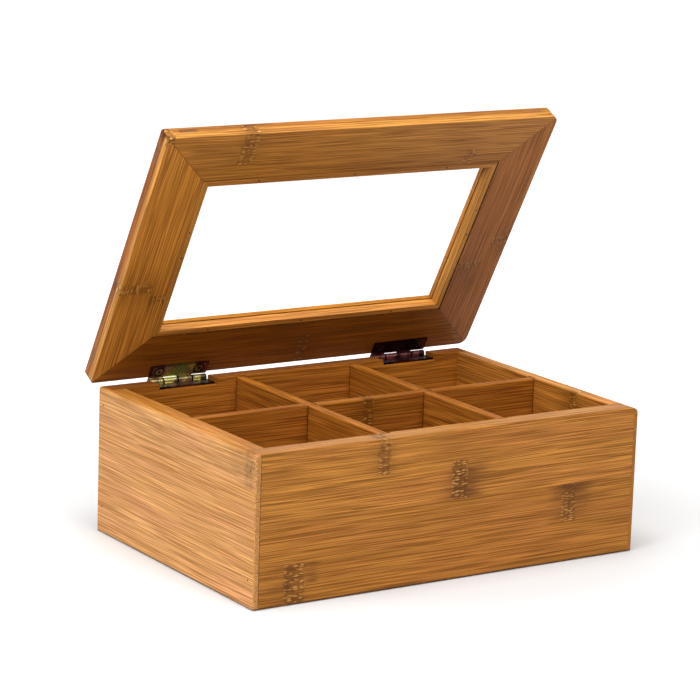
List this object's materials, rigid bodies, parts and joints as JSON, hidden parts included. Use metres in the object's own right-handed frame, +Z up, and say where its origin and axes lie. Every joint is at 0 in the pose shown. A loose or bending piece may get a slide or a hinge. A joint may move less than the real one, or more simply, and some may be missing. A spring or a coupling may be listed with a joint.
{
  "type": "tea bag organizer box",
  "caption": "Divided bamboo storage box for tea bags, with a hinged lid that has a clear window in a mitred frame.",
  "frame": {"origin": "middle of the box's flat base, on the surface it stands on", "axes": "+Z up, +Y towards the hinged back, +X to the right seen from the front; the base is the whole box's left-right symmetry axis"},
  "size_m": [0.288, 0.2042, 0.2681],
  "materials": {
    "back_wall": "bamboo boards, sanded and thinly lacquered, satin",
    "bead_brads": "bare wire brads, darkened in the wood",
    "bottom_panel": "bamboo boards, sanded and thinly lacquered, satin",
    "cross_divider_left": "bamboo boards, sanded and thinly lacquered, satin",
    "cross_divider_right": "bamboo boards, sanded and thinly lacquered, satin",
    "front_wall": "bamboo boards, sanded and thinly lacquered, satin",
    "glazing_bead_back": "bamboo boards, sanded and thinly lacquered, satin",
    "glazing_bead_front": "bamboo boards, sanded and thinly lacquered, satin",
    "glazing_bead_left": "bamboo boards, sanded and thinly lacquered, satin",
    "glazing_bead_right": "bamboo boards, sanded and thinly lacquered, satin",
    "hinge_box_screws": "yellow passivated steel, stamped, slightly iridescent",
    "hinge_left_box_leaf": "yellow passivated steel, stamped, slightly iridescent",
    "hinge_left_lid_leaf": "yellow passivated steel, stamped, slightly iridescent",
    "hinge_left_pin": "yellow passivated steel, stamped, slightly iridescent",
    "hinge_lid_screws": "yellow passivated steel, stamped, slightly iridescent",
    "hinge_right_box_leaf": "yellow passivated steel, stamped, slightly iridescent",
    "hinge_right_lid_leaf": "yellow passivated steel, stamped, slightly iridescent",
    "hinge_right_pin": "yellow passivated steel, stamped, slightly iridescent",
    "left_wall": "bamboo boards, sanded and thinly lacquered, satin",
    "lid_back_rail": "bamboo boards, sanded and thinly lacquered, satin",
    "lid_front_rail": "bamboo boards, sanded and thinly lacquered, satin",
    "lid_left_stile": "bamboo boards, sanded and thinly lacquered, satin",
    "lid_right_stile": "bamboo boards, sanded and thinly lacquered, satin",
    "long_divider": "bamboo boards, sanded and thinly lacquered, satin",
    "mitre_key_back_left": "bamboo boards, sanded and thinly lacquered, satin",
    "mitre_key_back_right": "bamboo boards, sanded and thinly lacquered, satin",
    "mitre_key_front_left": "bamboo boards, sanded and thinly lacquered, satin",
    "mitre_key_front_right": "bamboo boards, sanded and thinly lacquered, satin",
    "right_wall": "bamboo boards, sanded and thinly lacquered, satin",
    "wall_brads": "bare wire brads, darkened in the wood",
    "window_pane": "clear, polished, flat"
  },
  "bodies": {
    "box": {"back_wall": "back_wall", "bottom_panel": "bottom_panel", "cross_divider_left": "cross_divider_left", "cross_divider_right": "cross_divider_right", "front_wall": "front_wall", "hinge_box_screws": "hinge_box_screws", "hinge_left_box_leaf": "hinge_left_box_leaf", "hinge_left_pin": "hinge_left_pin", "hinge_right_box_leaf": "hinge_right_box_leaf", "hinge_right_pin": "hinge_right_pin", "left_wall": "left_wall", "long_divider": "long_divider", "right_wall": "right_wall", "wall_brads": "wall_brads"},
    "lid": {"bead_brads": "bead_brads", "glazing_bead_back": "glazing_bead_back", "glazing_bead_front": "glazing_bead_front", "glazing_bead_left": "glazing_bead_left", "glazing_bead_right": "glazing_bead_right", "hinge_left_lid_leaf": "hinge_left_lid_leaf", "hinge_lid_screws": "hinge_lid_screws", "hinge_right_lid_leaf": "hinge_right_lid_leaf", "lid_back_rail": "lid_back_rail", "lid_front_rail": "lid_front_rail", "lid_left_stile": "lid_left_stile", "lid_right_stile": "lid_right_stile", "mitre_key_back_left": "mitre_key_back_left", "mitre_key_back_right": "mitre_key_back_right", "mitre_key_front_left": "mitre_key_front_left", "mitre_key_front_right": "mitre_key_front_right", "window_pane": "window_pane"}
  },
  "joints": [
    {"name": "lid_hinge", "type": "hinge", "parent": "box", "child": "lid", "pos_m": [0, 0.0985, 0.09215], "axis": [-1, 0, 0], "range_deg": [-61, 119]}
  ]
}
